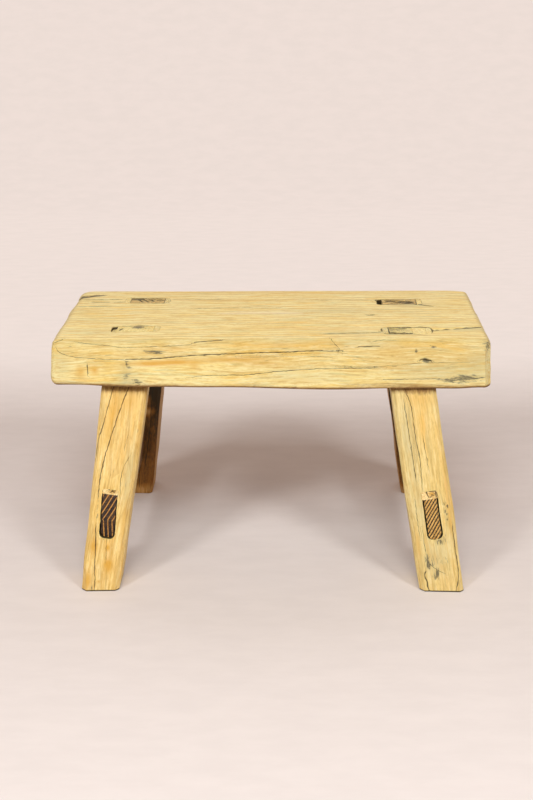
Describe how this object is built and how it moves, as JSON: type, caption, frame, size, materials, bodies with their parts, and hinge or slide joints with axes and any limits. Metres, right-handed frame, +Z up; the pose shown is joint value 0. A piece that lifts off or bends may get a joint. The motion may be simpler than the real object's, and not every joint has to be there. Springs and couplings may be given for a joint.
{
  "type": "milking stool",
  "caption": "Low wooden stool: a thick rectangular seat plank on splayed legs let through it as wedged tenons, with a stretcher on each side joining the front leg to the rear leg.",
  "frame": {"origin": "on the floor, under the middle of the stool", "axes": "+X to the right along the seat seen from the front, +Y from the front to the back, +Z up"},
  "size_m": [0.4338, 0.3114, 0.245],
  "materials": {
    "seat_wood": "old planed plank, rubbed pale yellow, dry and satin, with drying cracks and stains",
    "leg_wood": "old hewn and planed wood, pale warm yellow on the outer faces, satin",
    "dark_leg_wood": "the same wood left uncleaned, brown to black with handling, dull",
    "stretcher_wood": "coarse-ringed softwood, dark bands between tan ones on its end grain, dull",
    "wedge_wood": "split wedges, cream to golden, crushed and grubby at their heads"
  },
  "bodies": {
    "root": {"seat_plank": "seat_wood", "front_left_leg": "leg_wood", "front_right_leg": "leg_wood", "rear_left_leg": "dark_leg_wood", "rear_right_leg": "dark_leg_wood", "left_stretcher": "stretcher_wood", "right_stretcher": "stretcher_wood", "front_left_outer_wedge": "wedge_wood", "front_left_inner_wedge": "wedge_wood", "front_right_outer_wedge": "wedge_wood", "front_right_inner_wedge": "wedge_wood", "front_right_packing": "wedge_wood", "rear_left_outer_wedge": "wedge_wood", "rear_left_inner_wedge": "wedge_wood", "rear_right_outer_wedge": "wedge_wood", "rear_right_inner_wedge": "wedge_wood", "front_left_stretcher_wedge": "wedge_wood", "front_right_stretcher_wedge": "wedge_wood", "rear_left_stretcher_wedge": "wedge_wood", "rear_right_stretcher_wedge": "wedge_wood"}
  },
  "joints": []
}
